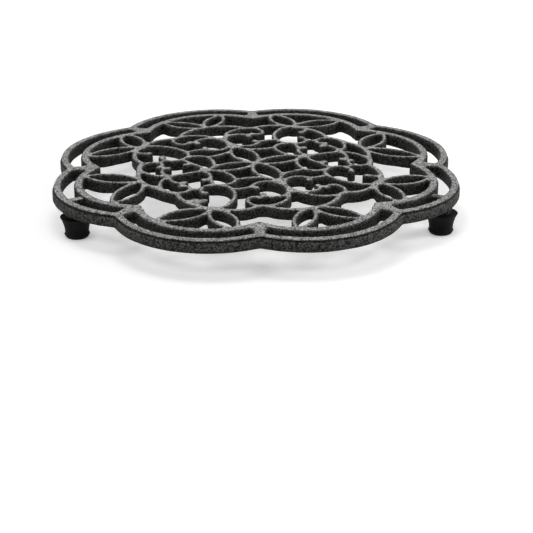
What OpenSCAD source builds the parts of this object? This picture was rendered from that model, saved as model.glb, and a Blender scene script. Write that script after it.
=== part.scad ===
// Cast-iron trivet: a scalloped double rim around an openwork grille of scrolls and
// pointed petals, slightly domed, standing on three push-on rubber feet.
// Millimetres, +Z up, feet on z = 0, origin under the middle of the rim.
// The grille is the same on both sides of the X axis and of the Y axis.
// Points of the grille's bars are hundredths of the rim's radius.

/* [Rim] */
// Radius of the scalloped outline at the middle of a lobe
rim_radius = 98.2; // [60:0.1:140]
// Radius of each lobe's own arc
lobe_radius = 46; // [36:0.1:60]
// Number of lobes around the rim
lobe_count = 8; // [8:1:8]
// Width of the outer band
outer_band_width = 4.3; // [2:0.1:8]
// Width of the slot between the two bands
slot_width = 5.7; // [3:0.1:9]
// Width of the inner band
inner_band_width = 4.1; // [2:0.1:8]
// Width of the webs that join the bands at the notches
web_width = 6.6; // [3:0.1:10]

/* [Heights] */
// Height of the rim's top face above the floor
rim_top = 18.6; // [12:0.1:30]
// Height of the dome's middle above the rim
crown = 2.6; // [0.5:0.1:6]
// Height of the cast bands of the rim
cast_height = 5.8; // [3:0.1:10]
// Height of the cast bars of the grille
grille_height = 5.1; // [3:0.1:10]

/* [Grille bars] */
// Width of the thin scroll and petal bars
bar_width = 2.3; // [1.4:0.1:3.5]
// Width of the inner ring's bar
ring_width = 2.8; // [1.6:0.1:4]
// Extra radius of the rounded knuckle where two arcs of a bar meet
knuckle_extra = 0.1; // [0.05:0.05:0.4]
// Radius of the small bulb at the end of a curl
bulb_radius = 1.75; // [1:0.05:2.6]

/* [Centre petals] */
// Bar of a centre petal on the Y axis, as three points of its arc
petal_y_shares = [[0.4, 0.3], [5.6, 13.2], [0.5, 26.4]];
// Bar of a centre petal on the X axis
petal_x_shares = [[0.3, 0.3], [12.2, 4.8], [24.2, 0.5]];
// Point where a tie bar leaves the Y petal, its middle, and its far end
tie_low_shares = [[4.5, 21], [9.5, 18.7], [17.4, 17.9]];
// Bowed bar beside the X petal, lower arc
bow_low_shares = [[21.1, 2.4], [17.9, 9.8], [17.7, 16.6]];
// Bowed bar beside the X petal, upper arc to the large scroll
bow_high_shares = [[17.7, 16.6], [19.6, 20], [26, 21.7]];

/* [Scrolls near the Y axis] */
// Inner scroll, lower curl from its bulb
inner_tail_shares = [[13.6, 31.6], [14.2, 29.2], [12.4, 26.9]];
// Inner scroll, lower curl
inner_low_shares = [[12.4, 26.9], [7.7, 25.5], [3.5, 27.3]];
// Inner scroll, back up along the axis to the waist
inner_back_shares = [[3.5, 27.3], [1.4, 30.8], [0.4, 35.3]];
// Inner scroll, from the waist to the fork
inner_rise_shares = [[0.4, 35.3], [1.3, 40.3], [3.7, 44.4]];
// Inner scroll, upper curl
inner_high_shares = [[3.7, 44.4], [7.3, 45.9], [11.1, 45.2]];
// Inner scroll, upper curl down to its bulb
inner_head_shares = [[11.1, 45.2], [13.8, 43.2], [14, 40.3]];
// Outer scroll, from the fork outward
outer_rise_shares = [[2.8, 44.2], [6.5, 50.4], [12.6, 53.8]];
// Outer scroll, along the ring to its far side
outer_top_shares = [[12.6, 53.8], [17.2, 54.2], [21.8, 52.4]];
// Outer scroll, far side
outer_side_shares = [[21.8, 52.4], [23.9, 48.3], [23.3, 44.2]];
// Outer scroll, curl back to its bulb
outer_curl_shares = [[23.3, 44.2], [20.4, 41.7], [17.1, 43.4]];

/* [Large scrolls] */
// Large scroll, head curl from the ring to its bulb
large_head_shares = [[46.2, 41], [44.2, 37.9], [41.3, 36.3]];
// Large scroll, top, into the ring
large_top_shares = [[31.8, 43.8], [35.8, 46.8], [40.4, 47.2]];
// Large scroll, long back
large_back_shares = [[31.8, 43.8], [26.6, 37.2], [24.4, 29]];
// Large scroll, lower back
large_low_shares = [[24.4, 29], [25.4, 24.2], [29.8, 20.3]];
// Large scroll, foot
large_foot_shares = [[29.8, 20.3], [34.4, 19.8], [38, 23.8]];
// Large scroll, foot curl up to its bulb
large_curl_shares = [[38, 23.8], [38.4, 26], [37.5, 28.1]];
// Link from the inner scroll to the large scroll
link_upper_shares = [[14, 28.8], [19, 30], [24.6, 28.5]];
// Link from the large scroll down to the side scroll
link_down_shares = [[30.2, 20], [29.4, 16.3], [28.4, 12.3]];
// Link from the large scroll to the end scroll
link_side_shares = [[37.6, 22.4], [39.7, 21.5], [42, 20.8]];

/* [Scrolls near the X axis] */
// Side scroll, near curl from its bulb
side_near_shares = [[31.4, 11.8], [28.6, 11], [26.7, 7.9]];
// Side scroll, near curl to the spine
side_root_shares = [[26.7, 7.9], [26.4, 4.2], [28.2, 0.9]];
// Side scroll, far curl from the spine
side_far_shares = [[44.2, 0.5], [45.8, 4.9], [45, 8.5]];
// Side scroll, far curl to its bulb
side_tip_shares = [[45, 8.5], [43.6, 10.6], [41, 11.1]];
// Spine of the side scroll along the X axis, start and end
spine_x_shares = [26.7, 45.2];
// End scroll, from the spine outward
end_rise_shares = [[45.6, 0.9], [50.1, 4.4], [52.8, 10.4]];
// End scroll, along the ring
end_side_shares = [[52.8, 10.4], [53.5, 15.9], [50, 21.4]];
// End scroll, turn over the top
end_top_shares = [[50, 21.4], [45.8, 22.6], [42, 20]];
// End scroll, back down to its bulb
end_back_shares = [[42, 20], [41.6, 16.9], [44.2, 14.5]];
// Link from the end scroll's bulb to the side scroll
link_end_shares = [[43, 14.3], [42.8, 12.8], [43.2, 11]];

/* [Ring] */
// Ring arc across the Y axis
ring_top_shares = [[-16.1, 57.4], [0, 64.3], [16.1, 57.4]];
// Ring arc from there to the notch
ring_dip_shares = [[16.1, 57.4], [18.6, 54.3], [22.8, 53]];
// Ring arc after the notch
ring_upper_shares = [[22.8, 53], [28.6, 54], [36, 51.3]];
// Ring arc across the diagonal
ring_corner_shares = [[36, 51.3], [41.9, 46.9], [46.2, 41.8]];
// Ring arc down the side
ring_side_shares = [[46.2, 41.8], [49.8, 32.6], [49.6, 24]];
// Ring arc after the side notch
ring_lower_shares = [[49.6, 24], [53, 17.9], [55.6, 11.4]];
// Ring arc across the X axis
ring_end_shares = [[55.6, -11.4], [58.6, 0], [55.6, 11.4]];

/* [Rim petals] */
// Petal of the Y lobe, bar nearer the axis
lobe_y_near_shares = [[0.7, 67.4], [5.1, 76.4], [14.8, 82.6]];
// Petal of the Y lobe, bar nearer the ring
lobe_y_far_shares = [[3.5, 64.6], [11.9, 70.8], [16.2, 82.2]];
// Stem of the Y lobe's petals on the axis, start and end
stem_y_shares = [63.8, 70.2];
// Petal of the X lobe, bar nearer the ring
lobe_x_far_shares = [[59.2, 4.4], [65.3, 14.2], [79, 19.8]];
// Petal of the X lobe, bar nearer the axis
lobe_x_near_shares = [[60.8, 0.6], [72.1, 6.2], [79.3, 18.9]];
// Upright petal of the diagonal lobe, near side
upright_left_shares = [[41.4, 47.8], [36.4, 59.8], [41, 71.8]];
// Upright petal of the diagonal lobe, far side
upright_right_shares = [[42.8, 47.9], [46.7, 59.7], [42, 71.8]];
// Level petal of the diagonal lobe, upper side
level_high_shares = [[43.6, 48.4], [56, 53.1], [68.6, 48.4]];
// Level petal of the diagonal lobe, lower side
level_low_shares = [[44.2, 46.4], [55.6, 42.4], [68.4, 47.6]];

/* [Solid junctions] */
// Middle of the solid spot on the Y axis, in hundredths of the rim's radius
spot_y_share = 28.7; // [24:0.1:34]
// Radius of the solid spot on the Y axis
spot_y_radius = 2.6; // [1:0.1:4]
// Middle of the solid spot on the X axis, in hundredths of the rim's radius
spot_x_share = 25.5; // [22:0.1:29]
// Radius of the solid spot on the X axis
spot_x_radius = 2.6; // [1:0.1:4]
// Middle of the fork's filling on the Y axis, in hundredths of the rim's radius
fork_share = 42.4; // [39:0.1:45]
// Middle of the filling beside the end scrolls on the X axis, the same way
end_spot_share = 45.2; // [43:0.1:48]
// Radius of the two small fillings on the axes
small_spot_radius = 1.9; // [1:0.1:3]
// Middle of the filling on each diagonal
corner_shares = [42.1, 46.8];
// Radius of the filling on each diagonal
corner_spot_radius = 2.6; // [1:0.1:4]
// Radius of the filling of the cross at the centre
centre_radius = 1.9; // [1:0.1:4]

/* [Feet] */
// Distance of the left foot from the centre, in hundredths of the rim's radius
left_foot_share = 92.5; // [90:0.1:95]
// Distance of the right foot from the centre, the same way
right_foot_share = 94.3; // [90:0.1:95]
// Distance of the back foot from the centre, the same way
back_foot_share = 83.5; // [80:0.5:87]
// Direction of the left foot in degrees
left_angle = 183; // [175:0.5:190]
// Direction of the right foot in degrees
right_angle = 312.3; // [306:0.1:322]
// Direction of the back foot in degrees
back_angle = 67.5; // [60:0.5:75]
// Height of a rubber foot
foot_height = 9.8; // [6:0.1:16]
// Radius of the flared top of a foot
foot_flare = 7.4; // [5:0.1:10]
// Height of the flare's rounded edge
foot_edge = 0.7; // [0.3:0.1:1.5]
// Radius of the foot under the flare
foot_shoulder = 6.1; // [4:0.1:9]
// Radius of the foot's waist
foot_waist = 5.5; // [3:0.1:8]
// Radius of the foot's lip
foot_lip = 5.8; // [3:0.1:8]
// Radius of the foot on the floor
foot_tread = 4.9; // [3:0.1:8]
// Share of the foot's height at the shoulder
shoulder_share = 0.69; // [0.6:0.01:0.85]
// Share of the foot's height at the waist
waist_share = 0.36; // [0.25:0.01:0.5]
// Share of the foot's height at the lip
lip_share = 0.15; // [0.08:0.01:0.2]
// Radius of the cast boss above a foot
boss_radius = 4.8; // [3.5:0.1:7]
// Radius of the cast pad that fills the slot above a foot
pad_radius = 3.6; // [3:0.1:6]
// Depth of the pad's top under the rim's top face
pad_drop = 1.4; // [0.5:0.1:3]
// Radius of the cast stud inside a foot
stud_radius = 2.4; // [1.5:0.1:4]
// Length of the stud below the boss
stud_length = 6; // [3:0.1:9]
// Squeeze of the rubber on the stud, per side
stud_squeeze = 0.1; // [0.05:0.05:0.3]
// Clearance under the stud's end inside the foot
stud_clearance = 0.6; // [0.2:0.1:2]

/* [Hidden] */
$fn = 96;
// One hundredth of the rim's radius, the unit of the grille's points
unit = rim_radius / 100;
lobe_centre = rim_radius - lobe_radius;
lobe_step = 360 / lobe_count;
slot_outer = outer_band_width;
slot_inner = outer_band_width + slot_width;
grille_edge = slot_inner + inner_band_width;
slot_middle = rim_radius - slot_outer - slot_width / 2;
web_start = notch_distance(slot_inner) - inner_band_width / 2;
web_end = notch_distance(slot_outer) + outer_band_width / 2;
cast_bottom = rim_top - cast_height;
knuckle = knuckle_extra + bar_width / 2;
ring_knuckle = knuckle_extra + ring_width / 2;
// How far the cutting wedge of an arc reaches past the bar
wedge_reach = 1.3;
// Quarters of an arc's sweep at which its wedge has a corner
wedge_steps = [0, 1, 2, 3, 4];
// Shares of the rim's radius at which the dome's slope changes, flat inside the first
dome_shares = [0.2, 0.4, 0.6, 0.8, 1.02];
// Share of the rim's radius inside which the casting has the grille's height
grille_reach_share = 0.6;
grille_bars = [petal_y_shares, petal_x_shares, tie_low_shares, bow_low_shares,
    bow_high_shares, inner_tail_shares, inner_low_shares, inner_back_shares,
    inner_rise_shares, inner_high_shares, inner_head_shares, outer_rise_shares,
    outer_top_shares, outer_side_shares, outer_curl_shares, large_head_shares,
    large_top_shares, large_back_shares, large_low_shares, large_foot_shares,
    large_curl_shares, link_upper_shares, link_down_shares, link_side_shares,
    side_near_shares, side_root_shares, side_far_shares, side_tip_shares,
    end_rise_shares, end_side_shares, end_top_shares, end_back_shares,
    link_end_shares, lobe_y_near_shares, lobe_y_far_shares, lobe_x_far_shares,
    lobe_x_near_shares, upright_left_shares, upright_right_shares,
    level_high_shares, level_low_shares];
ring_bars = [ring_dip_shares, ring_upper_shares, ring_corner_shares,
    ring_side_shares, ring_lower_shares];
bulbs = [inner_tail_shares[0], inner_head_shares[2], outer_curl_shares[2],
    large_head_shares[2], large_curl_shares[2], side_near_shares[0],
    side_tip_shares[2], end_back_shares[2]];
foot_places = [[unit * left_foot_share, left_angle, slot_middle],
    [unit * right_foot_share, right_angle, slot_middle],
    [unit * back_foot_share, back_angle, unit * back_foot_share]];

// Distance from the centre to a notch of the scalloped outline, moved inward
function notch_distance(inward) = lobe_centre * cos(lobe_step / 2)
    + sqrt(pow(lobe_radius - inward, 2) - pow(lobe_centre * sin(lobe_step / 2), 2));

// Height of the domed top at a share of the rim's radius
function top_at(share) = rim_top + crown * (1 - share * share);

// Height of the casting at a share of the rim's radius
function height_at(share) = share > grille_reach_share ? cast_height : grille_height;

// Centre of the circle through three points
function arc_centre(a, b, c) = let (
    d = 2 * (a[0] * (b[1] - c[1]) + b[0] * (c[1] - a[1]) + c[0] * (a[1] - b[1])),
    sa = a[0] * a[0] + a[1] * a[1],
    sb = b[0] * b[0] + b[1] * b[1],
    sc = c[0] * c[0] + c[1] * c[1])
    [(sa * (b[1] - c[1]) + sb * (c[1] - a[1]) + sc * (a[1] - b[1])) / d,
     (sa * (c[0] - b[0]) + sb * (a[0] - c[0]) + sc * (b[0] - a[0])) / d];

// Direction of a point seen from a centre, in degrees
function heading(m, p) = atan2(p[1] - m[1], p[0] - m[0]);

// Angle turned anticlockwise from one direction to another
function turn(from, to) = (to - from + 720) % 360;

// Flat bar of one width along the arc through three points
module arc_bar(shares, w) {
    p = unit * shares;
    m = arc_centre(p[0], p[1], p[2]);
    r = norm(p[1] - m);
    first = heading(m, p[0]);
    last = heading(m, p[2]);
    leftward = turn(first, heading(m, p[1])) < turn(first, last);
    start = leftward ? first : last;
    sweep = leftward ? turn(first, last) : turn(last, first);
    reach = wedge_reach * (r + w);
    intersection() {
        translate(m) difference() {
            circle(r = r + w / 2);
            circle(r = r - w / 2);
        }
        translate(m) polygon(concat([[0, 0]], [for (k = wedge_steps)
            [reach * cos(start + sweep * k / 4), reach * sin(start + sweep * k / 4)]]));
    }
}

// One bar with a knuckle at both ends
module joined_bar(shares, w, k) {
    arc_bar(shares, w);
    translate(unit * shares[0]) circle(r = k);
    translate(unit * shares[2]) circle(r = k);
}

// Straight bar along the X axis between two shares
module straight_bar(shares) {
    translate([unit * shares[0], -bar_width / 2])
        square([unit * (shares[1] - shares[0]), bar_width]);
}

// Scalloped outline, moved inward
module scallops(inward) {
    circle(r = lobe_centre);
    for (i = [0 : lobe_count - 1])
        rotate(i * lobe_step) translate([lobe_centre, 0])
            circle(r = lobe_radius - inward);
}

// Both bands of the rim with the webs between them
module rim_plan() {
    difference() {
        scallops(0);
        scallops(slot_outer);
    }
    difference() {
        scallops(slot_inner);
        scallops(grille_edge);
    }
    for (i = [0 : lobe_count - 1])
        rotate((i + 0.5) * lobe_step) translate([web_start, -web_width / 2])
            square([web_end - web_start, web_width]);
}

// Bars of one quarter of the grille
module quarter_plan() {
    for (shares = grille_bars)
        joined_bar(shares, bar_width, knuckle);
    for (shares = ring_bars)
        joined_bar(shares, ring_width, ring_knuckle);
    for (share = bulbs)
        translate(unit * share) circle(r = bulb_radius);
    translate(unit * corner_shares) circle(r = corner_spot_radius);
}

// What lies across the upper half of the Y axis
module upper_plan() {
    arc_bar(ring_top_shares, ring_width);
    rotate(90) straight_bar(stem_y_shares);
    translate([0, unit * spot_y_share]) circle(r = spot_y_radius);
    translate([0, unit * fork_share]) circle(r = small_spot_radius);
}

// What lies across the right half of the X axis
module right_plan() {
    arc_bar(ring_end_shares, ring_width);
    straight_bar(spine_x_shares);
    translate([unit * spot_x_share, 0]) circle(r = spot_x_radius);
    translate([unit * end_spot_share, 0]) circle(r = small_spot_radius);
}

// The whole grille and rim, seen from above
module grate_plan() {
    rim_plan();
    for (sx = [0, 1])
        for (sy = [0, 1])
            mirror([sx, 0]) mirror([0, sy]) quarter_plan();
    for (sy = [0, 1])
        mirror([0, sy]) upper_plan();
    for (sx = [0, 1])
        mirror([sx, 0]) right_plan();
    circle(r = centre_radius);
}

// Space between the domed top and the domed underside
module dome_space() {
    steps = len(dome_shares) - 1;
    upper = [for (share = dome_shares) [rim_radius * share, top_at(share)]];
    lower = [for (share = dome_shares)
        [rim_radius * share, top_at(share) - height_at(share)]];
    rotate_extrude() polygon(concat(
        [[0, upper[0][1]]], upper,
        [for (i = [steps : -1 : 0]) lower[i]], [[0, lower[0][1]]]));
}

// Pad, boss and stud that carry one foot
module foot_carrier(place) {
    rotate(place[1]) {
        translate([place[0], 0, foot_height])
            cylinder(r = boss_radius, h = cast_bottom - foot_height + cast_height / 2);
        translate([place[2], 0, cast_bottom])
            cylinder(r = pad_radius, h = cast_height - pad_drop);
        translate([place[0], 0, foot_height - stud_length])
            cylinder(r = stud_radius, h = stud_length + cast_height / 2);
    }
}

// One-piece casting: rim, grille, pads, bosses and studs
module grate() {
    color([0.2, 0.2, 0.21]) {
        intersection() {
            linear_extrude(height = rim_top + cast_height) grate_plan();
            dome_space();
        }
        for (place = foot_places)
            foot_carrier(place);
    }
}

// One rubber foot: flared top, waist, lip, blind hole for the stud
module foot(place) {
    color([0.06, 0.06, 0.06]) rotate(place[1]) translate([place[0], 0]) difference() {
        rotate_extrude() polygon([
            [0, 0],
            [foot_tread, 0],
            [foot_lip, foot_height * lip_share],
            [foot_waist, foot_height * waist_share],
            [foot_shoulder, foot_height * shoulder_share],
            [foot_flare, foot_height - foot_edge],
            [foot_flare, foot_height],
            [0, foot_height]]);
        translate([0, 0, foot_height - stud_length - stud_clearance])
            cylinder(r = stud_radius - stud_squeeze, h = stud_length + 2 * stud_clearance);
    }
}

module foot_left() {
    foot(foot_places[0]);
}

module foot_right() {
    foot(foot_places[1]);
}

module foot_back() {
    foot(foot_places[2]);
}

grate();
foot_left();
foot_right();
foot_back();
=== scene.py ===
import math

import bmesh
import bpy
import numpy as np
from mathutils import Matrix, Vector
from mathutils.geometry import delaunay_2d_cdt


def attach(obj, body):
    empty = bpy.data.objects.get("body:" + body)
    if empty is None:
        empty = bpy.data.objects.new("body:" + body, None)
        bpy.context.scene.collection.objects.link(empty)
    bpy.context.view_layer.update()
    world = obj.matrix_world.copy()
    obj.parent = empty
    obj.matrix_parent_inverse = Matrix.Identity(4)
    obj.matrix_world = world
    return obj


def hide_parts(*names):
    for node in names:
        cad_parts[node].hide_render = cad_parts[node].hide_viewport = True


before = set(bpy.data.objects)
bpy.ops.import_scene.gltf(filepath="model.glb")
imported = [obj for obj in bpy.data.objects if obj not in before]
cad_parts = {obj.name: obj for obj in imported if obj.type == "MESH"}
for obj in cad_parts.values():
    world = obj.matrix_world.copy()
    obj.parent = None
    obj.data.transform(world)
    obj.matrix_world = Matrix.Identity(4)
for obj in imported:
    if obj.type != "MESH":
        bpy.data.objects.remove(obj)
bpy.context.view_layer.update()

mm = 0.001  # sizes are in millimetres, except those of the materials, the studio and the camera
farAway = 1e9  # a distance that any real one is less than
almostNothing = 1e-9  # stands in for nothing where a number is divided by
sameSpot = 1e-7  # places this near to each other, in metres, are merged on a turned piece

# the casting: the solid model's main sizes, with narrower webs that flare towards the middle
casting = {
    "rimRadius": 98.2, "lobeRadius": 46.0, "lobes": 8,
    "outerBand": 4.3, "slot": 5.7, "innerBand": 4.1, "web": 4.0, "webFlare": 2.4, "webFillet": 1.6,
    "rimTop": 18.6, "crown": 2.6, "flatShare": 0.2,
    "bandHeight": 5.8, "barHeight": 5.1, "barReachShare": 0.7, "barReachBlend": 0.06,
    "barWidth": 2.3, "ringWidth": 2.8, "bulb": 1.75, "fillet": 1.0,
    "play": 0.06,  # how far the outline keeps inside the solid model's
    # wall section from under to top: how far in from the outline, how far below the top or (with a
    # minus) above the underside, and how worn and lit: wear and painted light that make tops lighter
    "wallSection": [[0.42, -0.02, 0.2], [0.12, -0.12, 0.12], [0, -0.45, 0], [0, 1.8, 0],
                    [0, 1.2, 0.02], [0.04, 0.85, 0.03], [0.12, 0.52, 0.06], [0.32, 0.22, 0.18],
                    [0.6, 0.06, 0.55], [0.9, 0, 1]],
    # the same for the outermost wall, with painted shade in a crease under its top edge, where the
    # wear-and-light value is less than nothing
    "rimSection": [[0.6, -0.02, 0.2], [0.2, -0.15, 0.12], [0, -0.6, 0.03], [0, 2.2, 0.08],
                   [0.3, 1.45, 0.12], [0.74, 1.05, -0.25], [0.86, 0.72, -0.75], [0.7, 0.4, 0.05],
                   [0.85, 0.08, 0.8], [1.15, 0, 1]],
    "rimSectionDepth": 1.6, "rimSectionBlend": 0.8,
    # insets shrink where less metal than leastFlat would be left inside them, down to the share
    # leastRoom
    "leastFlat": 0.28, "leastRoom": 0.25,
    # the rim's tops get less wear and painted light than the grille's, from this share of the radius on
    "rimWearAndLight": 0.84, "rimWearAndLightShare": 0.8, "rimWearAndLightBlend": 0.03,
    # sine waves along the walls: their size, number, lengths, seed, and how deep in metal they end
    "waviness": 0.06, "waves": 14, "waveLengths": (5, 24), "waveSeed": 11, "waveDepth": 3,
}

# how the outline is traced on a grid, evened out and filled
tracing = {
    # the grid's pitch and margin, what stands in for nothing at a corner, and the share of the
    # pitch within which places merge
    "pitch": 0.72, "margin": 2, "onGrid": 1e-6, "mergeShare": 0.42,
    # rounds of evening out, how far each goes, and how a place is drawn back onto the outline
    "evenRounds": 6, "evenShare": 0.4, "probe": 0.05, "leastSlope": 0.5, "farthestMove": 0.4,
    "sameWithin": 1e-6, "fillRounds": 400,
}

# the grille's bars, each an arc through three points in hundredths of the rim's radius
scrolls = {
    "petalY": [[[0.4, 0.3], [5.6, 13.2], [0.5, 26.4]]],
    "petalX": [[[0.3, 0.3], [12.2, 4.8], [24.2, 0.5]]],
    "tie": [[[4.5, 21], [9.5, 18.7], [17.4, 17.9]]],
    "bow": [[[21.1, 2.4], [17.9, 9.8], [17.7, 16.6]], [[17.7, 16.6], [19.6, 20], [26, 21.7]]],
    "innerScroll": [
        [[13.6, 31.6], [14.2, 29.2], [12.4, 26.9]], [[12.4, 26.9], [7.7, 25.5], [3.5, 27.3]],
        [[3.5, 27.3], [1.4, 30.8], [0.4, 35.3]], [[0.4, 35.3], [1.3, 40.3], [3.7, 44.4]],
        [[3.7, 44.4], [7.3, 45.9], [11.1, 45.2]], [[11.1, 45.2], [13.8, 43.2], [14, 40.3]]],
    "outerScroll": [
        [[2.8, 44.2], [6.5, 50.4], [12.6, 53.8]], [[12.6, 53.8], [17.2, 54.2], [21.8, 52.4]],
        [[21.8, 52.4], [23.9, 48.3], [23.3, 44.2]], [[23.3, 44.2], [20.4, 41.7], [17.1, 43.4]]],
    "largeScroll": [
        [[31.8, 43.8], [35.8, 46.8], [40.4, 47.2]], [[31.8, 43.8], [26.6, 37.2], [24.4, 29]],
        [[24.4, 29], [25.4, 24.2], [29.8, 20.3]], [[29.8, 20.3], [34.4, 19.8], [38, 23.8]],
        [[38, 23.8], [38.4, 26], [37.5, 28.1]]],
    "largeHead": [[[46.2, 41], [44.2, 37.9], [41.3, 36.3]]],
    "linkUpper": [[[14, 28.8], [19, 30], [24.6, 28.5]]],
    "linkDown": [[[30.2, 20], [29.4, 16.3], [28.4, 12.3]]],
    "linkSide": [[[37.6, 22.4], [39.7, 21.5], [42, 20.8]]],
    "sideNear": [[[31.4, 11.8], [28.6, 11], [26.7, 7.9]], [[26.7, 7.9], [26.4, 4.2], [28.2, 0.9]]],
    "sideFar": [[[44.2, 0.5], [45.8, 4.9], [45, 8.5]], [[45, 8.5], [43.6, 10.6], [41, 11.1]]],
    "endScroll": [
        [[45.6, 0.9], [50.1, 4.4], [52.8, 10.4]], [[52.8, 10.4], [53.5, 15.9], [50, 21.4]],
        [[50, 21.4], [45.8, 22.6], [42, 20]], [[42, 20], [41.6, 16.9], [44.2, 14.5]]],
    "linkEnd": [[[43, 14.3], [42.8, 12.8], [43.2, 11]]],
    "lobeYNear": [[[0.7, 67.4], [5.1, 76.4], [14.8, 82.6]]],
    "lobeYFar": [[[3.5, 64.6], [11.9, 70.8], [16.2, 82.2]]],
    "lobeXFar": [[[59.2, 4.4], [65.3, 14.2], [79, 19.8]]],
    "lobeXNear": [[[60.8, 0.6], [72.1, 6.2], [79.3, 18.9]]],
    "uprightLeft": [[[41.4, 47.8], [36.4, 59.8], [41, 71.8]]],
    "uprightRight": [[[42.8, 47.9], [46.7, 59.7], [42, 71.8]]],
    "levelHigh": [[[43.6, 48.4], [56, 53.1], [68.6, 48.4]]],
    "levelLow": [[[44.2, 46.4], [55.6, 42.4], [68.4, 47.6]]],
}
ring = [
    [[-16.1, 57.4], [0, 64.3], [16.1, 57.4]], [[16.1, 57.4], [18.6, 54.3], [22.8, 53]],
    [[22.8, 53], [28.6, 54], [36, 51.3]], [[36, 51.3], [41.9, 46.9], [46.2, 41.8]],
    [[46.2, 41.8], [49.8, 32.6], [49.6, 24]], [[49.6, 24], [53, 17.9], [55.6, 11.4]],
    [[55.6, -11.4], [58.6, 0], [55.6, 11.4]]]
straights = {"spineX": [[26.7, 0], [45.2, 0]], "stemY": [[0, 63.8], [0, 70.2]]}
bulbs = [[13.6, 31.6], [14, 40.3], [17.1, 43.4], [41.3, 36.3], [37.5, 28.1],
         [31.4, 11.8], [41, 11.1], [44.2, 14.5]]
spots = [[0, 28.7, 2.6], [25.5, 0, 2.6], [0, 42.4, 1.9], [45.2, 0, 1.9], [42.1, 46.8, 2.6],
         [0, 0, 1.9], [64.2, 0, 1.2]]  # place in hundredths, radius in millimetres
loneSpot = [-45.7, -35.2, 3.0]  # the same, at the near left large scroll only

feet = {
    "names": ["foot_left", "foot_right", "foot_back"],
    "angles": [183.0, 312.3, 67.5], "shares": [92.5, 94.3, 83.5],
    # height of the rubber foot, and the cast boss over it with the stud that the foot is pushed on
    "height": 9.8, "boss": 4.8, "bossReach": 1.2, "stud": 2.3, "studLength": 5.9,
    "studRound": 0.4, "bossRound": 0.3, "bossTopRound": 0.5, "bossSides": 64,
    # pads across the slot: how far into the bands, under the rim's top, and how worn and lit (tops
    # painted lighter), foot by foot
    "padWidth": 3.6, "padGrip": 1.0, "padDrops": [0.3, 0.9, 0.9], "padWearsAndLight": [1, 0.55, 0.55],
    "padInSlot": [True, True, False], "padSides": 32, "padPower": 0.35, "padRound": 0.4,
    "padShoulder": [[0, 0.6], [0.18, 0.2], [0.6, 0]], "padShoulderWearAndLight": 0.6,
    # radius and height, from the middle of the tread up the outside and down into the stud's hole
    "outline": [[0, 0], [4.4, 0], [4.85, 0.12], [5.2, 0.5], [5.56, 1.15], [5.76, 1.5], [5.8, 1.6],
                [5.79, 1.7], [5.7, 1.8], [5.5, 1.95], [5.42, 2.4], [5.45, 3.3], [5.58, 4.4], [5.8, 5.5],
                [6.1, 6.6], [6.42, 7.6], [6.78, 8.5], [7.12, 9.2], [7.34, 9.56], [7.4, 9.68],
                [7.38, 9.77], [7.25, 9.8], [2.9, 9.8],
                [2.45, 9.65], [2.35, 9.3], [2.35, 3.2], [0, 3.2]],
    "sides": 96,
}

unit = casting["rimRadius"] / 100  # length of one hundredth in the lists above


# Centre, radius, middle direction and half the sweep of the circle through three points.
def arcOf(points):
    (ax, ay), (bx, by), (cx, cy) = points
    d = 2 * (ax * (by - cy) + bx * (cy - ay) + cx * (ay - by))
    sa, sb, sc = ax * ax + ay * ay, bx * bx + by * by, cx * cx + cy * cy
    mx = (sa * (by - cy) + sb * (cy - ay) + sc * (ay - by)) / d
    my = (sa * (cx - bx) + sb * (ax - cx) + sc * (bx - ax)) / d
    first, middle, last = (math.atan2(q[1] - my, q[0] - mx) for q in points)
    forth = (last - first) % math.tau
    if (middle - first) % math.tau > forth:
        first, last = last, first
        forth = (last - first) % math.tau
    return mx, my, math.hypot(bx - mx, by - my), first + forth / 2, forth / 2


# Within the arc's sweep the difference to its radius, past it the way to the nearer end,
# less half the bar's width.
def arcDistance(x, y, points, width):
    mx, my, r, middle, half = arcOf(points)
    u, v = x - mx, y - my
    turn = np.abs((np.arctan2(v, u) - middle + math.pi) % math.tau - math.pi)
    onArc = np.abs(np.hypot(u, v) - r)
    atEnd = np.full(x.shape, farAway)
    for side in (-half, half):
        ex, ey = r * math.cos(middle + side), r * math.sin(middle + side)
        atEnd = np.minimum(atEnd, np.hypot(u - ex, v - ey))
    return np.where(turn <= half, onArc, atEnd) - width / 2


# The smaller of the two, less a rounding that grows where they are within reach of each other.
def softMin(a, b, reach):
    near = np.maximum(reach - np.abs(a - b), 0) / reach
    return np.minimum(a, b) - near * near * reach / 4


# Distance to the scalloped outline: each point is turned into the nearest lobe's sector, and
# measured to that lobe's circle, softened against the next one.
def lobedDistance(x, y):
    c = casting
    step = math.tau / c["lobes"]
    middle = c["rimRadius"] - c["lobeRadius"]
    r, a = np.hypot(x, y), np.arctan2(y, x)
    a = np.abs((a + step / 2) % step - step / 2)
    own = np.hypot(np.maximum(r * np.cos(a) - middle, 0), r * np.sin(a)) - c["lobeRadius"]
    rest = step - a
    other = np.hypot(np.maximum(r * np.cos(rest) - middle, 0), r * np.sin(rest)) - c["lobeRadius"]
    return softMin(own, other, c["fillet"]) + c["play"]


# Where the circles of two lobes next to each other, drawn in by that much, cross: the way along
# the notch direction to the line between their middles, and from there to the circle.
def notchDistance(inward):
    c = casting
    half = math.pi / c["lobes"]
    middle = c["rimRadius"] - c["lobeRadius"]
    across = middle * math.sin(half)
    return middle * math.cos(half) + math.sqrt((c["lobeRadius"] - inward) ** 2 - across ** 2)


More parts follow.
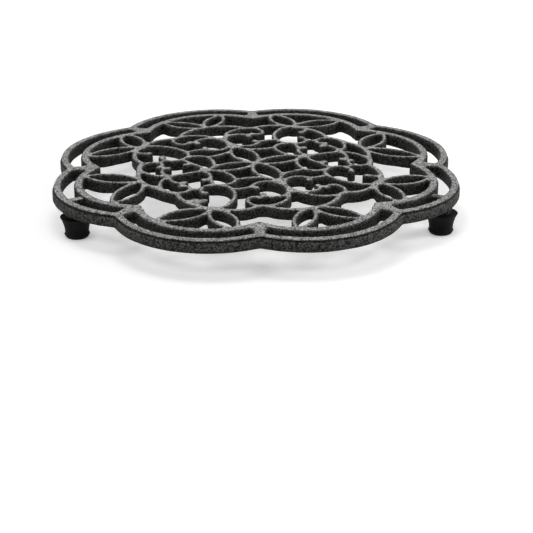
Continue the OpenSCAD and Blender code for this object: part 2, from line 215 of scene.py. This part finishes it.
# Both bands are the places whose way in from the outline is near a band's middle; the webs are
# wedges along the notch directions, wider at the inner band.
def rimDistance(x, y):
    c = casting
    inward = -lobedDistance(x, y)
    outer = np.abs(inward - c["outerBand"] / 2) - c["outerBand"] / 2
    innerStart = c["outerBand"] + c["slot"]
    inner = np.abs(inward - innerStart - c["innerBand"] / 2) - c["innerBand"] / 2
    step = math.tau / c["lobes"]
    r, a = np.hypot(x, y), np.arctan2(y, x) % step - step / 2
    start = notchDistance(innerStart) - c["innerBand"] / 2
    end = notchDistance(c["outerBand"]) + c["outerBand"] / 2
    along = np.abs(r * np.cos(a) - (start + end) / 2) - (end - start) / 2
    half = c["web"] / 2 + c["webFlare"] * np.clip((end - r * np.cos(a)) / (end - start), 0, 1)
    web = np.maximum(along, np.abs(r * np.sin(a)) - half)
    return softMin(softMin(outer, web, c["webFillet"]), inner, c["webFillet"])


# The sum of sine waves in chance directions, all from one seed, over the root of their number.
def waviness(x, y):
    random = np.random.default_rng(casting["waveSeed"])
    total = np.zeros(x.shape)
    for _ in range(casting["waves"]):
        direction, phase = random.uniform(0, math.tau, 2)
        length = random.uniform(*casting["waveLengths"])
        along = x * math.cos(direction) + y * math.sin(direction)
        total += np.sin(along * math.tau / length + phase)
    return total / math.sqrt(casting["waves"])


# Signed distance to the casting seen from above, less than nothing in the metal: the softened
# union of the rim, the ring, the scrolls and the filled spots, folded over both axes, and of the
# lone spot, which isn't folded.
def castingDistance(x, y):
    c = casting
    fx, fy = np.abs(x), np.abs(y)
    total = rimDistance(x, y)
    chains = [(ring, c["ringWidth"])] + [(chain, c["barWidth"]) for chain in scrolls.values()]
    for chain, width in chains:
        part = np.full(x.shape, farAway)
        for points in chain:
            part = np.minimum(part, arcDistance(fx, fy, np.array(points) * unit, width))
        total = softMin(total, part, c["fillet"])
    for (ax, ay), (bx, by) in straights.values():
        u = np.clip(fx, ax * unit, bx * unit) if bx > ax else ax * unit
        v = np.clip(fy, ay * unit, by * unit) if by > ay else ay * unit
        total = softMin(total, np.hypot(fx - u, fy - v) - c["barWidth"] / 2, c["fillet"])
    rounds = [(px, py, c["bulb"]) for px, py in bulbs] + [tuple(s) for s in spots]
    for px, py, radius in rounds:
        total = softMin(total, np.hypot(fx - px * unit, fy - py * unit) - radius, c["fillet"])
    lone = np.hypot(x - loneSpot[0] * unit, y - loneSpot[1] * unit) - loneSpot[2]
    total = softMin(total, lone, c["fillet"])
    return total + waviness(x, y) * c["waviness"] * (total > -c["waveDepth"])


# Direction in which the distance grows, and how steeply, from small steps both ways.
def outwards(x, y):
    step = tracing["probe"]
    gx = castingDistance(x + step, y) - castingDistance(x - step, y)
    gy = castingDistance(x, y + step) - castingDistance(x, y - step)
    size = np.maximum(np.hypot(gx, gy), almostNothing)
    return gx / size, gy / size, size / (2 * step)


# Places where the distance is nothing: crossings of a square grid's lines, joined cell by cell,
# with close ones merged, evened out along the outline and drawn back onto it.
def outlineOf():
    how = tracing
    pitch = how["pitch"]
    count = int(2 * (casting["rimRadius"] + how["margin"]) / pitch) + 2
    line = (np.arange(count) - (count - 1) / 2) * pitch
    gx, gy = np.meshgrid(line, line, indexing="ij")
    value = castingDistance(gx, gy)
    value[value == 0] = how["onGrid"]
    flat = np.full(value.shape, -1)
    level = np.full(value.shape, -1)
    crossX = (value[:-1, :] < 0) != (value[1:, :] < 0)
    crossY = (value[:, :-1] < 0) != (value[:, 1:] < 0)
    level[:-1, :][crossX] = np.arange(crossX.sum())
    flat[:, :-1][crossY] = np.arange(crossY.sum()) + crossX.sum()
    i, j = np.nonzero(crossX)
    t = value[i, j] / (value[i, j] - value[i + 1, j])
    points = [np.stack([line[i] + t * pitch, line[j]], 1)]
    i, j = np.nonzero(crossY)
    t = value[i, j] / (value[i, j] - value[i, j + 1])
    points.append(np.stack([line[i], line[j] + t * pitch], 1))
    points = np.concatenate(points)
    inside = value < 0
    # which of a cell's four corners are in the metal, and which of its sides the outline then joins
    code = inside[:-1, :-1] + 2 * inside[1:, :-1] + 4 * inside[1:, 1:] + 8 * inside[:-1, 1:]
    sides = {"low": level[:-1, :-1], "right": flat[1:, :-1],
             "high": level[:-1, 1:], "left": flat[:-1, :-1]}
    cuts = {1: ["low left"], 2: ["right low"], 4: ["high right"], 8: ["left high"],
            3: ["right left"], 6: ["high low"], 12: ["left right"], 9: ["low high"],
            7: ["high left"], 11: ["right high"], 13: ["low right"], 14: ["left low"],
            5: ["low left", "high right"], 10: ["right low", "left high"]}
    edges = []
    for case, pairs in cuts.items():
        here = code == case
        for pair in pairs:
            start, end = pair.split()
            edges.append(np.stack([sides[start][here], sides[end][here]], 1))
    edges = np.concatenate(edges)
    draft = bpy.data.meshes.new("draft")
    draft.from_pydata(np.column_stack([points, np.zeros(len(points))]).tolist(), edges.tolist(), [])
    bm = bmesh.new()
    bm.from_mesh(draft)
    bmesh.ops.remove_doubles(bm, verts=bm.verts, dist=pitch * how["mergeShare"])
    pinched = [e for e in bm.edges if min(len(v.link_edges) for v in e.verts) > 2]
    bmesh.ops.delete(bm, geom=pinched, context="EDGES")
    bmesh.ops.delete(bm, geom=[v for v in bm.verts if not v.link_edges], context="VERTS")
    bm.to_mesh(draft)
    bm.free()
    points = np.empty(len(draft.vertices) * 3, np.float32)
    draft.vertices.foreach_get("co", points)
    points = points.astype(float).reshape(-1, 3)[:, :2]
    edges = np.empty(len(draft.edges) * 2, np.int32)
    draft.edges.foreach_get("vertices", edges)
    edges = edges.astype(int).reshape(-1, 2)
    bpy.data.meshes.remove(draft)
    for turn in range(how["evenRounds"] + 1):
        if turn < how["evenRounds"]:
            total, number = np.zeros(points.shape), np.zeros(len(points))
            for a, b in ((0, 1), (1, 0)):
                np.add.at(total, edges[:, a], points[edges[:, b]])
                np.add.at(number, edges[:, a], 1)
            middle = total / number[:, None]
            points = points + (middle - points) * how["evenShare"]
        nx, ny, slope = outwards(points[:, 0], points[:, 1])
        off = castingDistance(points[:, 0], points[:, 1]) / np.maximum(slope, how["leastSlope"])
        off = np.clip(off, -how["farthestMove"], how["farthestMove"])
        points = points - np.stack([nx, ny], 1) * off[:, None]
    nx, ny, _ = outwards(points[:, 0], points[:, 1])
    way = points[edges[:, 1]] - points[edges[:, 0]]
    normal = np.stack([nx, ny], 1)
    side = normal[edges[:, 0]] + normal[edges[:, 1]]
    wrong = -way[:, 1] * side[:, 0] + way[:, 0] * side[:, 1] > 0
    edges[wrong] = edges[wrong][:, ::-1]
    return points, normal, edges


# Height of the domed top: the crown less its share that falls with the square of the radius.
def topAt(x, y):
    share = np.hypot(x, y) / casting["rimRadius"]
    share = np.maximum(share, casting["flatShare"])
    return casting["rimTop"] + casting["crown"] * (1 - share * share)


# Height of the casting there: that of a bar in the grille, that of a band in the rim.
def heightAt(x, y):
    share = np.hypot(x, y) / casting["rimRadius"]
    blend = np.clip((share - casting["barReachShare"]) / casting["barReachBlend"], 0, 1)
    return casting["barHeight"] + (casting["bandHeight"] - casting["barHeight"]) * blend


# Triangles between the outline's edges. One that holds an edge the way it runs lies in the metal,
# one that holds it the other way lies in the air, and the rest are as their neighbours are.
def fillOf(points, edges):
    corners, walls = [Vector(p) for p in points.tolist()], [tuple(e) for e in edges.tolist()]
    got = delaunay_2d_cdt(corners, walls, [], 0, tracing["sameWithin"])
    count = len(got[0])
    source = np.array([old[0] if old else -1 for old in got[3]])
    place = np.array([v[:] for v in got[0]])
    faces = np.array(got[2])
    a, b, c = (place[faces[:, k]] for k in range(3))
    turned = (b[:, 0] - a[:, 0]) * (c[:, 1] - a[:, 1]) - (b[:, 1] - a[:, 1]) * (c[:, 0] - a[:, 0]) < 0
    faces[turned] = faces[turned][:, ::-1]
    back = np.full(len(points), -1)
    back[source[source >= 0]] = np.nonzero(source >= 0)[0]
    wall = back[edges]
    ways = np.stack([faces, np.roll(faces, -1, 1)], 2)
    code = ways[:, :, 0] * count + ways[:, :, 1]
    opposite = ways[:, :, 1] * count + ways[:, :, 0]
    forth, against = wall[:, 0] * count + wall[:, 1], wall[:, 1] * count + wall[:, 0]
    isWall = np.isin(code, forth) | np.isin(code, against)
    state = np.isin(code, forth).any(1).astype(int) - np.isin(code, against).any(1)
    order = np.argsort(code.ravel())
    found = np.searchsorted(code.ravel()[order], opposite.ravel()).clip(0, order.size - 1)
    match = order[found]
    neighbour = np.where(code.ravel()[match] == opposite.ravel(), match // 3, -1).reshape(-1, 3)
    neighbour[isWall] = -1
    for _ in range(tracing["fillRounds"]):
        near = np.where(neighbour >= 0, state[neighbour], 0).sum(1)
        change = (state == 0) & (near != 0)
        if not change.any():
            break
        state[change] = np.sign(near[change])
    print("fill:", count - len(points), "new points,", (state == 0).sum(), "undecided")
    faces = source[faces[state > 0]]
    return faces[(faces >= 0).all(1)]


# A piece from places in millimetres and faces, with its own normals and its wear and painted light
# where they are given.
def meshPiece(name, verts, faces, normals=None, wearAndLight=None):
    mesh = bpy.data.meshes.new(name)
    mesh.from_pydata((np.asarray(verts) * mm).tolist(), [], faces)
    mesh.update()
    piece = bpy.data.objects.new(name, mesh)
    bpy.context.scene.collection.objects.link(piece)
    mesh.polygons.foreach_set("use_smooth", [True] * len(mesh.polygons))
    if normals is not None:
        mesh.normals_split_custom_set_from_vertices(normals.tolist())
    if wearAndLight is not None:
        mesh.attributes.new("wearAndLight", "FLOAT", "POINT").data.foreach_set("value", wearAndLight)
    return piece


# The outline carried up a rounded wall section: each ring of the section lies a little way in
# from the outline, at its own height over the underside or under the domed top.
def grateMesh():
    points, normal, edges = outlineOf()
    count = len(points)
    c = casting
    near = lobedDistance(points[:, 0], points[:, 1]) + c["rimSectionDepth"]
    outermost = np.clip(near / c["rimSectionBlend"], 0, 1)[:, None, None]
    sections = np.array(c["wallSection"]) * (1 - outermost) + np.array(c["rimSection"]) * outermost
    # where the metal is too narrow or turns too sharply for the full inset, all insets are less there
    reach = sections[:, -1, 0]
    inner = points - normal * reach[:, None]
    room = np.clip(-castingDistance(inner[:, 0], inner[:, 1]) / c["leastFlat"], c["leastRoom"], 1)
    verts = []
    for k in range(sections.shape[1]):
        inset, drop = sections[:, k, 0] * room, sections[:, k, 1]
        place = points - normal * inset[:, None]
        top = topAt(place[:, 0], place[:, 1])
        under = top - heightAt(place[:, 0], place[:, 1])
        z = np.where(drop >= 0, top - drop, under - drop)
        verts.append(np.column_stack([place, z]))
    # a ring's normals stand square to the way from the ring below it to the ring above it
    rise = np.gradient(np.array([ring[:, 2] for ring in verts]), axis=0)
    inward = np.gradient(sections[:, :, 0].T, axis=0)
    rise[0], rise[-1], inward[0], inward[-1] = 0, 0, -1, 1
    size = np.hypot(rise, inward)
    normals = [np.column_stack([normal * (rise[k] / size[k])[:, None], inward[k] / size[k]])
               for k in range(len(verts))]
    faces = []
    for k in range(len(verts) - 1):
        low, high = edges + k * count, edges + (k + 1) * count
        faces.append(np.column_stack([low[:, 0], low[:, 1], high[:, 1], high[:, 0]]))
    quads = np.concatenate(faces)
    last = (len(verts) - 1) * count
    topFaces = fillOf(verts[-1][:, :2], edges) + last
    lowFaces = fillOf(verts[0][:, :2], edges)[:, ::-1]
    allFaces = quads.tolist() + topFaces.tolist() + lowFaces.tolist()
    triangles = len(quads) * 2 + len(topFaces) + len(lowFaces)
    print("grate outline", count, "points,", triangles, "triangles")
    share = np.hypot(points[:, 0], points[:, 1]) / c["rimRadius"]
    inRim = np.clip((share - c["rimWearAndLightShare"]) / c["rimWearAndLightBlend"], 0, 1)
    # each ring's wear and painted light: tops painted lighter, as worn and lit from above
    wearAndLight = sections[:, :, 2].T
    wearAndLight = wearAndLight * np.where(wearAndLight > 0, 1 - (1 - c["rimWearAndLight"]) * inRim, 1)
    return np.concatenate(verts), allFaces, np.concatenate(normals), wearAndLight.ravel()


# Quads between rings of the same number of places, each ring joined to the next one above it.
def ringFaces(rings, sides):
    low = np.arange((rings - 1) * sides)
    after = low + np.where(low % sides == sides - 1, 1 - sides, 1)
    return np.stack([low, after, after + sides, low + sides], 1).tolist()


# The outline turned round the Z axis: radius and height at each of the sides' directions.
def turned(outline, sides):
    outline = np.array(outline, float)
    a = np.arange(sides) * math.tau / sides
    r, z = outline[:, 0][:, None], outline[:, 1][:, None]
    verts = np.stack([r * np.cos(a), r * np.sin(a), z + 0 * a], 2).reshape(-1, 3)
    return verts, ringFaces(len(outline), sides)


# A turned outline as a closed mesh, its ends on the axis merged, set down at a place.
def turnedPiece(name, outline, sides, place):
    verts, faces = turned(outline, sides)
    piece = meshPiece(name, verts + np.array(place), faces)
    bm = bmesh.new()
    bm.from_mesh(piece.data)
    bmesh.ops.remove_doubles(bm, verts=bm.verts, dist=sameSpot)
    bmesh.ops.recalc_face_normals(bm, faces=bm.faces)
    bm.to_mesh(piece.data)
    bm.free()
    return piece


print("making the casting")
grate = meshPiece("cast_grate", *grateMesh())
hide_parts("grate")
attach(grate, "root")


# A place in the foot's direction, as far out as the foot stands or at the distance given.
def footPlace(k, distance=None):
    a = math.radians(feet["angles"][k])
    distance = distance or unit * feet["shares"][k]
    return distance * math.cos(a), distance * math.sin(a)


# Rings of a rounded rectangle: cosine and sine of each direction, raised to a low power and
# stretched to the two half sizes. The rings draw in at both ends, and all are turned to the foot's
# direction and set down in the slot.
def padVerts(k, bottom, top):
    half = np.array([casting["slot"] / 2 + feet["padGrip"], feet["padWidth"] / 2])
    t = (np.arange(feet["padSides"]) + 0.5) * math.tau / feet["padSides"]
    loop = np.stack([np.cos(t), np.sin(t)], 1)
    loop = np.sign(loop) * np.abs(loop) ** feet["padPower"] * half
    slotMiddle = casting["rimRadius"] - casting["outerBand"] - casting["slot"] / 2
    middle = footPlace(k, slotMiddle if feet["padInSlot"][k] else None)
    a = math.radians(feet["angles"][k])
    turn = np.array([[math.cos(a), math.sin(a)], [-math.sin(a), math.cos(a)]])
    low = [(feet["padRound"], bottom), (0, bottom + feet["padRound"])]
    high = [(inset, top - drop) for inset, drop in feet["padShoulder"]]
    verts = []
    for inset, z in low + high:
        smaller = loop * (1 - inset / half)
        verts.append(np.column_stack([smaller @ turn + middle, np.full(len(loop), z)]))
    return np.concatenate(verts)


# The boss's and the stud's outline, from the stud's end up: radius and height.
def bossOutline(bottom):
    h, boss, stud = feet["height"], feet["boss"], feet["stud"]
    high, end = bottom + feet["bossReach"], h - feet["studLength"]
    return [[0, end], [stud - feet["studRound"], end], [stud, end + feet["studRound"]], [stud, h],
            [boss - feet["bossRound"], h], [boss, h + feet["bossRound"]],
            [boss, high - feet["bossTopRound"]], [boss - feet["bossTopRound"], high], [0, high]]


print("making the foot carriers")
carriers = []
bottom = casting["rimTop"] - casting["bandHeight"]
sides, rings = feet["padSides"], 2 + len(feet["padShoulder"])
padEnds = [list(range(sides))[::-1], list(range((rings - 1) * sides, rings * sides))]
for k, name in enumerate(feet["names"]):
    side = name.split("_")[1]
    x, y = footPlace(k)
    carrier = turnedPiece("cast_boss_" + side, bossOutline(bottom), feet["bossSides"], (x, y, 0))
    # the pad's top is painted lighter, for wear and for light from above
    top, wornAndLit = casting["rimTop"] - feet["padDrops"][k], feet["padWearsAndLight"][k]
    padWearAndLight = np.repeat([0] * (rings - 2) + [wornAndLit * feet["padShoulderWearAndLight"], wornAndLit], sides)
    pad = meshPiece("cast_pad_" + side, padVerts(k, bottom, top), ringFaces(rings, sides) + padEnds,
                    wearAndLight=padWearAndLight)
    for piece in (carrier, pad):
        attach(piece, "root")
        carriers.append(piece)

print("making the feet")
rubberFeet = []
for k, name in enumerate(feet["names"]):
    x, y = footPlace(k)
    piece = turnedPiece("rubber_" + name, feet["outline"], feet["sides"], (x, y, 0))
    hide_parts(name)
    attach(piece, "root")
    rubberFeet.append(piece)

print("making the materials")


# A shader node group with named sockets: each is its name, its kind and its first value.
def newGroup(name, inputs, outputs):
    group = bpy.data.node_groups.new(name, "ShaderNodeTree")
    for label, kind, value in inputs:
        socket = group.interface.new_socket(label, in_out="INPUT", socket_type="NodeSocket" + kind)
        socket.default_value = value
    for label, kind in outputs:
        group.interface.new_socket(label, in_out="OUTPUT", socket_type="NodeSocket" + kind)
    return group, group.nodes.new("NodeGroupInput"), group.nodes.new("NodeGroupOutput")


# The node tree of a material or world, with nothing in it.
def emptyTree(owner):
    owner.use_nodes = True
    owner.node_tree.nodes.clear()
    return owner.node_tree


# A shader node of that kind, with the given values set on it.
def addNode(tree, kind, **values):
    node = tree.nodes.new("ShaderNode" + kind)
    for key, value in values.items():
        setattr(node, key, value)
    return node


# A Math node fed by sockets or plain numbers.
def maths(tree, operation, a, b=None, clamp=False):
    node = addNode(tree, "Math", operation=operation, use_clamp=clamp)
    for place, value in enumerate((a, b)):
        if value is None:
            continue
        if isinstance(value, (int, float)):
            node.inputs[place].default_value = value
        else:
            tree.links.new(value, node.inputs[place])
    return node.outputs[0]


# The Fac output of a Noise Texture.
def noise(tree, where, scale, detail, roughness):
    node = addNode(tree, "TexNoise")
    node.inputs["Scale"].default_value = scale
    node.inputs["Detail"].default_value = detail
    node.inputs["Roughness"].default_value = roughness
    tree.links.new(where, node.inputs["Vector"])
    return node.outputs["Fac"]


# Value carried from low to high onto first to last, smoothly and without going past them.
def ramp(tree, value, low, high, first, last):
    node = addNode(tree, "MapRange", interpolation_type="SMOOTHSTEP")
    for label, number in (("From Min", low), ("From Max", high), ("To Min", first), ("To Max", last)):
        node.inputs[label].default_value = number
    tree.links.new(value, node.inputs["Value"])
    return node.outputs["Result"]


# Colour a, carried by the share towards colour b; each is a socket or a plain colour.
def mixColour(tree, share, a, b):
    node = addNode(tree, "Mix", data_type="RGBA")
    tree.links.new(share, node.inputs["Factor"])
    for label, value in (("A", a), ("B", b)):
        socket = [s for s in node.inputs if s.name == label and s.type == "RGBA"][0]
        if isinstance(value, tuple):
            socket.default_value = value
        else:
            tree.links.new(value, socket)
    return [s for s in node.outputs if s.type == "RGBA"][0]


# noise and cell scales per metre
skin = {
    "grainScale": 1900, "grainDip": -0.8, "grainSpan": (0.3, 0.72),
    "wobbleScale": 1300, "wobbleReach": 0.0005,
    "fineScale": 2300, "fineDetail": 2.0, "fineRoughness": 0.6, "fineShare": 0.5,
    "patchScale": 90, "patchDetail": 3.0, "patchRoughness": 0.55, "patchSpan": (0.35, 0.65),
}


# Sand-cast skin: cells of chance brightness over fine noise as grains, the same with each cell
# falling off from its middle as a height, and slow patches.
def sandCast(values):
    tree, start, end = newGroup("sandCast", [("Place", "Vector", (0, 0, 0))],
                                [("Height", "Float"), ("Grains", "Float"), ("Patches", "Float")])
    place = start.outputs["Place"]
    fine = noise(tree, place, values["fineScale"], values["fineDetail"], values["fineRoughness"])
    slow = noise(tree, place, values["patchScale"], values["patchDetail"], values["patchRoughness"])
    wobble = addNode(tree, "TexNoise")
    wobble.inputs["Scale"].default_value = values["wobbleScale"]
    tree.links.new(place, wobble.inputs["Vector"])
    shifted = addNode(tree, "VectorMath", operation="MULTIPLY_ADD")
    tree.links.new(wobble.outputs["Color"], shifted.inputs[0])
    shifted.inputs[1].default_value = (values["wobbleReach"],) * 3
    tree.links.new(place, shifted.inputs[2])
    cells = addNode(tree, "TexVoronoi", feature="F1")
    cells.inputs["Scale"].default_value = values["grainScale"]
    tree.links.new(shifted.outputs[0], cells.inputs["Vector"])
    chance = addNode(tree, "SeparateColor")
    tree.links.new(cells.outputs["Color"], chance.inputs[0])
    cellPart = maths(tree, "MULTIPLY", chance.outputs["Red"], 1 - values["fineShare"])
    mixed = maths(tree, "ADD", cellPart, maths(tree, "MULTIPLY", fine, values["fineShare"]))
    tree.links.new(ramp(tree, mixed, *values["grainSpan"], 0, 1), end.inputs["Grains"])
    dip = maths(tree, "MULTIPLY", cells.outputs["Distance"], values["grainDip"])
    tree.links.new(maths(tree, "ADD", mixed, dip), end.inputs["Height"])
    tree.links.new(ramp(tree, slow, *values["patchSpan"], 0, 1), end.inputs["Patches"])
    return tree


sandCastGroup = sandCast(skin)


# A material's start: its output, its shader and the sand-cast skin on Object coordinates.
def startMaterial(name):
    material = bpy.data.materials.new(name)
    tree = emptyTree(material)
    out = addNode(tree, "OutputMaterial")
    shader = addNode(tree, "BsdfPrincipled")
    tree.links.new(shader.outputs[0], out.inputs["Surface"])
    where = addNode(tree, "TexCoord")
    cast = tree.nodes.new("ShaderNodeGroup")
    cast.node_tree = sandCastGroup
    tree.links.new(where.outputs["Object"], cast.inputs["Place"])
    return material, tree, shader, cast


# The skin's height as a bump, and the shader's plain specular level.
def addBump(tree, shader, cast, values):
    shader.inputs["Specular IOR Level"].default_value = values["specular"]
    bump = addNode(tree, "Bump")
    bump.inputs["Strength"].default_value = values["bump"]
    bump.inputs["Distance"].default_value = values["bumpDepth"]
    tree.links.new(cast.outputs["Height"], bump.inputs["Height"])
    tree.links.new(bump.outputs["Normal"], shader.inputs["Normal"])


# the walls' colours are the iron painted in shade, the tops' colours the iron painted lit from above
# and worn
iron = {
    "wallDark": (0.005, 0.0048, 0.0046, 1), "wallLight": (0.055, 0.053, 0.05, 1),
    "topDark": (0.095, 0.094, 0.093, 1), "topLight": (0.59, 0.585, 0.58, 1),
    # painted shade in the crease under the rim's top edge
    "creaseShadeColour": (0.002, 0.002, 0.002, 1),
    "roughness": (0.5, 0.75), "bump": 0.55, "bumpDepth": 0.0003, "specular": 0.04,
}


# Charcoal sand-cast iron: near-black walls with stray light grains, tops painted lighter to speckled
# grey for wear and for light from above, and painted shade in a crease where that value is less than
# nothing.
def ironMaterial(values):
    material, tree, shader, cast = startMaterial("castIron")
    # this value paints the tops lighter, for wear and for light from above
    wearAndLight = addNode(tree, "Attribute", attribute_name="wearAndLight")
    wornAndLit = maths(tree, "MAXIMUM", wearAndLight.outputs["Fac"], 0.0)
    # painted shade under the rim's top edge, where the value is less than nothing
    creaseShade = maths(tree, "MULTIPLY", wearAndLight.outputs["Fac"], -1.0, clamp=True)
    dark = mixColour(tree, wornAndLit, values["wallDark"], values["topDark"])
    light = mixColour(tree, wornAndLit, values["wallLight"], values["topLight"])
    colour = mixColour(tree, cast.outputs["Grains"], dark, light)
    colour = mixColour(tree, creaseShade, colour, values["creaseShadeColour"])
    tree.links.new(colour, shader.inputs["Base Color"])
    rough = ramp(tree, cast.outputs["Patches"], 0, 1, *values["roughness"])
    tree.links.new(rough, shader.inputs["Roughness"])
    addBump(tree, shader, cast, values)
    return material


rubber = {"dark": (0.004, 0.004, 0.004, 1), "light": (0.009, 0.009, 0.009, 1),
          "roughness": (0.6, 0.85), "bump": 0.1, "bumpDepth": 0.0002, "specular": 0.08}


# Matt black moulded rubber with faint patches and fine tooth.
def rubberMaterial(values):
    material, tree, shader, cast = startMaterial("blackRubber")
    colour = mixColour(tree, cast.outputs["Patches"], values["dark"], values["light"])
    tree.links.new(colour, shader.inputs["Base Color"])
    rough = ramp(tree, cast.outputs["Grains"], 0, 1, *values["roughness"])
    tree.links.new(rough, shader.inputs["Roughness"])
    addBump(tree, shader, cast, values)
    return material


ironLook = ironMaterial(iron)
rubberLook = rubberMaterial(rubber)
for piece in [grate] + carriers:
    piece.data.materials.append(ironLook)
for piece in rubberFeet:
    piece.data.materials.append(rubberLook)

print("setting the stage")

# sizes and places in metres, powers in watts
studio = {"floorSize": 3.0, "floorColour": (0.95, 0.95, 0.95, 1), "floorGlow": 0.29,
          "worldLight": 0.45, "keyPower": 4.5, "keySize": 0.8, "keyPlace": (-0.15, -0.1, 1.1),
          "fillPower": 5.5, "fillSize": 0.6, "fillPlace": (1.0, -0.4, 0.3),
          "sidePower": 1.0, "sideSize": 0.5, "sidePlace": (-0.9, 0.1, 0.35),
          "aimAt": (0, 0, 0.02)}


# One for camera, glossy and transmitted rays, nothing for the rays that light the object.
def seenDirectly(tree):
    path = addNode(tree, "LightPath")
    seen = maths(tree, "MAXIMUM", path.outputs["Is Camera Ray"], path.outputs["Is Glossy Ray"])
    return maths(tree, "MAXIMUM", seen, path.outputs["Is Transmission Ray"])


# A pale floor that keeps the shadow and glows a little to the camera, so that it looks white.
def stageFloor(values):
    half = values["floorSize"] / 2
    mesh = bpy.data.meshes.new("floor")
    corners = [(-half, -half, 0), (half, -half, 0), (half, half, 0), (-half, half, 0)]
    mesh.from_pydata(corners, [], [(0, 1, 2, 3)])
    floor = bpy.data.objects.new("floor", mesh)
    bpy.context.scene.collection.objects.link(floor)
    material = bpy.data.materials.new("floorWhite")
    tree = emptyTree(material)
    out = addNode(tree, "OutputMaterial")
    plain = addNode(tree, "BsdfDiffuse")
    plain.inputs["Color"].default_value = values["floorColour"]
    glow = addNode(tree, "Emission")
    strength = maths(tree, "MULTIPLY", seenDirectly(tree), values["floorGlow"])
    tree.links.new(strength, glow.inputs["Strength"])
    both = addNode(tree, "AddShader")
    tree.links.new(plain.outputs[0], both.inputs[0])
    tree.links.new(glow.outputs[0], both.inputs[1])
    tree.links.new(both.outputs[0], out.inputs["Surface"])
    mesh.materials.append(material)


# A soft round lamp that points at the object.
def stageLight(name, place, size, power):
    lamp = bpy.data.lights.new(name, "AREA")
    lamp.shape = "DISK"
    lamp.size = size
    lamp.energy = power
    light = bpy.data.objects.new(name, lamp)
    bpy.context.scene.collection.objects.link(light)
    light.location = place
    aim = Vector(studio["aimAt"]) - Vector(place)
    light.rotation_euler = aim.to_track_quat("-Z", "Y").to_euler()


# A white world to the camera, and a dimmer one for the light that reaches the object.
def stageWorld(strength):
    world = bpy.data.worlds.new("studio")
    bpy.context.scene.world = world
    tree = emptyTree(world)
    out = addNode(tree, "OutputWorld")
    back = addNode(tree, "Background")
    back.inputs["Color"].default_value = (1, 1, 1, 1)
    seen = seenDirectly(tree)
    tree.links.new(ramp(tree, seen, 0, 1, strength, 1.0), back.inputs["Strength"])
    tree.links.new(back.outputs[0], out.inputs["Surface"])


stageFloor(studio)
stageWorld(studio["worldLight"])
for name in ("key", "fill", "side"):
    stageLight(name, studio[name + "Place"], studio[name + "Size"], studio[name + "Power"])

# the photograph's camera, fitted on the 533 pixel frame; place in metres, heading and down in
# degrees, roll in radians
view = {"place": (-0.2850, -0.6515, 0.2667), "heading": 65.959, "down": 22.818, "roll": -0.0015,
        "focalPixels": 1583.6, "framePixels": 533, "sensor": 36.0}


# The lens whose frame holds that many pixels at that focal length, turned as the values say.
def stageCamera(values):
    data = bpy.data.cameras.new("camera")
    data.sensor_width = values["sensor"]
    data.lens = values["focalPixels"] / values["framePixels"] * values["sensor"]
    camera = bpy.data.objects.new("camera", data)
    bpy.context.scene.collection.objects.link(camera)
    heading, down = math.radians(values["heading"]), math.radians(values["down"])
    turn = Matrix.Rotation(heading - math.pi / 2, 4, "Z") @ Matrix.Rotation(math.pi / 2 - down, 4, "X")
    roll = Matrix.Rotation(values["roll"], 4, "Z")
    camera.matrix_world = Matrix.Translation(values["place"]) @ turn @ roll
    bpy.context.scene.camera = camera


stageCamera(view)
bpy.context.scene.view_settings.view_transform = "Standard"
